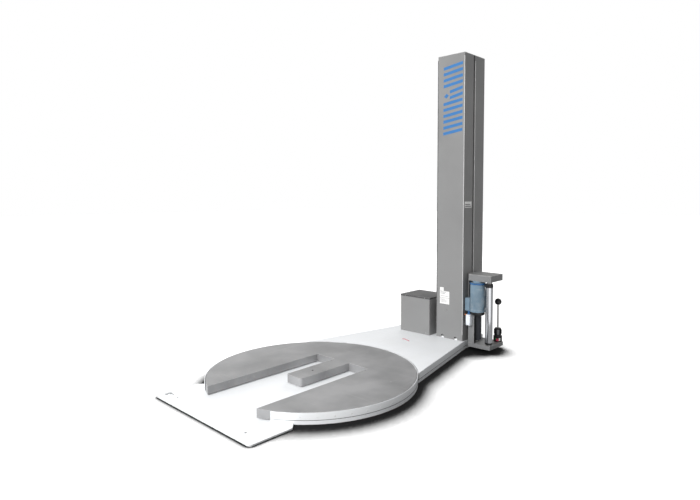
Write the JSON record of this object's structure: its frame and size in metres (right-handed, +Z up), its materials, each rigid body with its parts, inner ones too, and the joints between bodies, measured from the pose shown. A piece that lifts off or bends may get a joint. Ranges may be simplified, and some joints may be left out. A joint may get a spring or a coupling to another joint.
{
  "type": "turntable pallet wrapper",
  "caption": "Low-profile turntable stretch wrapper with fork slots for a pallet truck, a column and a film carriage that climbs it.",
  "frame": {"origin": "the turntable's axis, on the floor", "axes": "+Y from the truck entry to the column, +X towards the film carriage, +Z up"},
  "size_m": [1.668, 3.162, 2.799],
  "materials": {
    "base_white": "white powder coat",
    "table_grey": "grey paint, worn",
    "machine_grey": "grey powder coat",
    "carriage_grey": "grey powder coat",
    "motor_blue": "blue-grey paint",
    "steel": "bright steel",
    "bronze": "sintered bronze",
    "nylon": "cast nylon",
    "wheel_rubber": "polyurethane tyre",
    "film_rubber": "ground rubber",
    "belt_rubber": "toothed belt",
    "chrome_roller": "polished",
    "black_plastic": "moulded",
    "white_plastic": "moulded",
    "button_red": "moulded",
    "button_green": "moulded"
  },
  "bodies": {
    "base": {"base_plate": "base_white", "column_base": "base_white", "guard_ring": "base_white", "deck_cover": "base_white", "pivot_pin": "steel", "wheel_bearings": "steel", "table_gearmotor": "motor_blue", "table_chains": "steel", "drive_cover": "machine_grey", "column_foot": "carriage_grey", "foot_bolts": "steel", "column_front_shell": "machine_grey", "column_rear_shell": "machine_grey", "column_cap": "machine_grey", "guide_rails": "steel", "lift_gearmotor": "motor_blue", "lift_chain": "steel", "control_cabinet": "machine_grey", "cabinet_electrics": "white_plastic"},
    "turntable": {"turntable_deck": "table_grey", "turntable_underframe": "table_grey", "pivot_bearing": "bronze"},
    "carriage": {"carriage_frame": "carriage_grey", "film_tray": "carriage_grey", "gear_housing": "carriage_grey", "housing_lid": "carriage_grey", "feed_motor": "motor_blue", "terminal_box": "motor_blue", "motor_fan_cover": "black_plastic", "junction_box": "white_plastic", "feed_belt": "belt_rubber", "film_brake": "black_plastic"},
    "drive_wheel_left": {"drive_wheel_left": "wheel_rubber"},
    "drive_wheel_right": {"drive_wheel_right": "wheel_rubber"},
    "table_drive_shaft": {"table_drive_shaft": "steel"},
    "lift_sprocket": {"lift_sprocket": "steel"},
    "lift_idler": {"lift_idler": "steel"},
    "drive_pulley": {"drive_pulley": "steel"},
    "feed_roller": {"feed_shaft": "steel", "feed_roller": "film_rubber"},
    "idler_roller": {"idler_roller": "chrome_roller", "idler_ends": "black_plastic"},
    "film_spindle": {"film_spindle": "steel", "core_grips": "black_plastic"},
    "cabinet_door": {"cabinet_door": "machine_grey"},
    "estop_button": {"estop_button": "button_red"},
    "start_button": {"start_button": "button_green"},
    "stop_button": {"stop_button": "button_red"},
    "speed_knob": {"speed_knob": "black_plastic"},
    "main_switch": {"main_switch": "black_plastic"},
    "support_roller_1": {"support_roller_1": "nylon"},
    "support_roller_2": {"support_roller_2": "nylon"},
    "support_roller_3": {"support_roller_3": "nylon"},
    "support_roller_4": {"support_roller_4": "nylon"},
    "support_roller_5": {"support_roller_5": "nylon"},
    "support_roller_6": {"support_roller_6": "nylon"},
    "guide_roller_1": {"guide_roller_1": "steel"},
    "guide_roller_2": {"guide_roller_2": "steel"},
    "guide_roller_3": {"guide_roller_3": "steel"},
    "guide_roller_4": {"guide_roller_4": "steel"}
  },
  "joints": [
    {"name": "turntable_spin", "type": "hinge", "parent": "base", "child": "turntable", "pos_m": [0, 0, 0.04], "axis": [0, 0, 1], "continuous": true},
    {"name": "support_roller_1_roll", "type": "hinge", "parent": "turntable", "child": "support_roller_1", "pos_m": [0.38, 0.65818, 0.0353], "axis": [0.5, 0.866, 0], "continuous": true},
    {"name": "support_roller_2_roll", "type": "hinge", "parent": "turntable", "child": "support_roller_2", "pos_m": [0.75711, 0.06624, 0.0353], "axis": [0.9962, 0.0872, 0], "continuous": true},
    {"name": "support_roller_3_roll", "type": "hinge", "parent": "turntable", "child": "support_roller_3", "pos_m": [0.48852, -0.58219, 0.0353], "axis": [0.6428, -0.766, 0], "continuous": true},
    {"name": "support_roller_4_roll", "type": "hinge", "parent": "turntable", "child": "support_roller_4", "pos_m": [-0.48852, -0.58219, 0.0353], "axis": [-0.6428, -0.766, 0], "continuous": true},
    {"name": "support_roller_5_roll", "type": "hinge", "parent": "turntable", "child": "support_roller_5", "pos_m": [-0.75711, 0.06624, 0.0353], "axis": [-0.9962, 0.0872, 0], "continuous": true},
    {"name": "support_roller_6_roll", "type": "hinge", "parent": "turntable", "child": "support_roller_6", "pos_m": [-0.38, 0.65818, 0.0353], "axis": [-0.5, 0.866, 0], "continuous": true},
    {"name": "drive_wheel_left_spin", "type": "hinge", "parent": "base", "child": "drive_wheel_left", "pos_m": [-0.49505, 0.73395, 0.034], "axis": [0, 0, 1], "continuous": true},
    {"name": "drive_wheel_right_spin", "type": "hinge", "parent": "base", "child": "drive_wheel_right", "pos_m": [0.49505, 0.73395, 0.034], "axis": [0, 0, 1], "continuous": true},
    {"name": "table_drive_shaft_spin", "type": "hinge", "parent": "base", "child": "table_drive_shaft", "pos_m": [-0.11, 1.64, 0.06], "axis": [0, 0, 1], "continuous": true},
    {"name": "carriage_lift", "type": "slide", "parent": "base", "child": "carriage", "axis": [0, 0, 1], "range_m": [0, 1.95]},
    {"name": "guide_roller_1_roll", "type": "hinge", "parent": "carriage", "child": "guide_roller_1", "pos_m": [0.397, 1.655, 0.3], "axis": [1, 0, 0], "continuous": true},
    {"name": "guide_roller_2_roll", "type": "hinge", "parent": "carriage", "child": "guide_roller_2", "pos_m": [0.397, 1.655, 0.59], "axis": [1, 0, 0], "continuous": true},
    {"name": "guide_roller_3_roll", "type": "hinge", "parent": "carriage", "child": "guide_roller_3", "pos_m": [0.397, 1.778, 0.3], "axis": [1, 0, 0], "continuous": true},
    {"name": "guide_roller_4_roll", "type": "hinge", "parent": "carriage", "child": "guide_roller_4", "pos_m": [0.397, 1.778, 0.59], "axis": [1, 0, 0], "continuous": true},
    {"name": "lift_sprocket_spin", "type": "hinge", "parent": "base", "child": "lift_sprocket", "pos_m": [0.302, 1.7165, 2.65], "axis": [0, 1, 0], "continuous": true},
    {"name": "lift_idler_spin", "type": "hinge", "parent": "base", "child": "lift_idler", "pos_m": [0.302, 1.7165, 0.19], "axis": [0, 1, 0], "continuous": true},
    {"name": "drive_pulley_spin", "type": "hinge", "parent": "carriage", "child": "drive_pulley", "pos_m": [0.539, 1.617, 0.69], "axis": [0, 0, 1], "continuous": true},
    {"name": "feed_roller_spin", "type": "hinge", "parent": "carriage", "child": "feed_roller", "pos_m": [0.477, 1.71386, 0.37], "axis": [0, 0, 1], "continuous": true},
    {"name": "idler_roller_spin", "type": "hinge", "parent": "carriage", "child": "idler_roller", "pos_m": [0.656, 1.622, 0.37], "axis": [0, 0, 1], "continuous": true},
    {"name": "film_spindle_spin", "type": "hinge", "parent": "carriage", "child": "film_spindle", "pos_m": [0.64, 1.826, 0.26], "axis": [0, 0, 1], "continuous": true},
    {"name": "cabinet_door_swing", "type": "hinge", "parent": "base", "child": "cabinet_door", "pos_m": [0.033, 2.101, 1.2], "axis": [0, 0, 1], "range_deg": [0, 110]},
    {"name": "estop_press", "type": "slide", "parent": "cabinet_door", "child": "estop_button", "axis": [0, -1, 0], "range_m": [0, 0.005]},
    {"name": "start_press", "type": "slide", "parent": "cabinet_door", "child": "start_button", "axis": [0, -1, 0], "range_m": [0, 0.005], "stiffness_N_per_m": 600, "springref_m": -0.002},
    {"name": "stop_press", "type": "slide", "parent": "cabinet_door", "child": "stop_button", "axis": [0, -1, 0], "range_m": [0, 0.005], "stiffness_N_per_m": 600, "springref_m": -0.002},
    {"name": "speed_knob_turn", "type": "hinge", "parent": "cabinet_door", "child": "speed_knob", "pos_m": [0.17, 2.101, 1.35], "axis": [0, 1, 0], "range_deg": [0, 270]},
    {"name": "main_switch_turn", "type": "hinge", "parent": "cabinet_door", "child": "main_switch", "pos_m": [0.17, 2.101, 1.29], "axis": [0, 1, 0], "range_deg": [0, 90]}
  ],
  "couplings": [
    {"joint": "support_roller_1_roll", "follows": "turntable_spin", "ratio": -30.4},
    {"joint": "support_roller_2_roll", "follows": "turntable_spin", "ratio": -30.4},
    {"joint": "support_roller_3_roll", "follows": "turntable_spin", "ratio": -30.4},
    {"joint": "support_roller_4_roll", "follows": "turntable_spin", "ratio": -30.4},
    {"joint": "support_roller_5_roll", "follows": "turntable_spin", "ratio": -30.4},
    {"joint": "support_roller_6_roll", "follows": "turntable_spin", "ratio": -30.4},
    {"joint": "drive_wheel_left_spin", "follows": "turntable_spin", "ratio": -13.75},
    {"joint": "drive_wheel_right_spin", "follows": "turntable_spin", "ratio": -13.75},
    {"joint": "table_drive_shaft_spin", "follows": "turntable_spin", "ratio": -13.75},
    {"joint": "guide_roller_1_roll", "follows": "carriage_lift", "rad_per_m": -33.333},
    {"joint": "guide_roller_2_roll", "follows": "carriage_lift", "rad_per_m": -33.333},
    {"joint": "guide_roller_3_roll", "follows": "carriage_lift", "rad_per_m": -33.333},
    {"joint": "guide_roller_4_roll", "follows": "carriage_lift", "rad_per_m": -33.333},
    {"joint": "lift_sprocket_spin", "follows": "carriage_lift", "rad_per_m": -20.833},
    {"joint": "lift_idler_spin", "follows": "carriage_lift", "rad_per_m": -20.833},
    {"joint": "feed_roller_spin", "follows": "drive_pulley_spin", "ratio": 0.8}
  ]
}
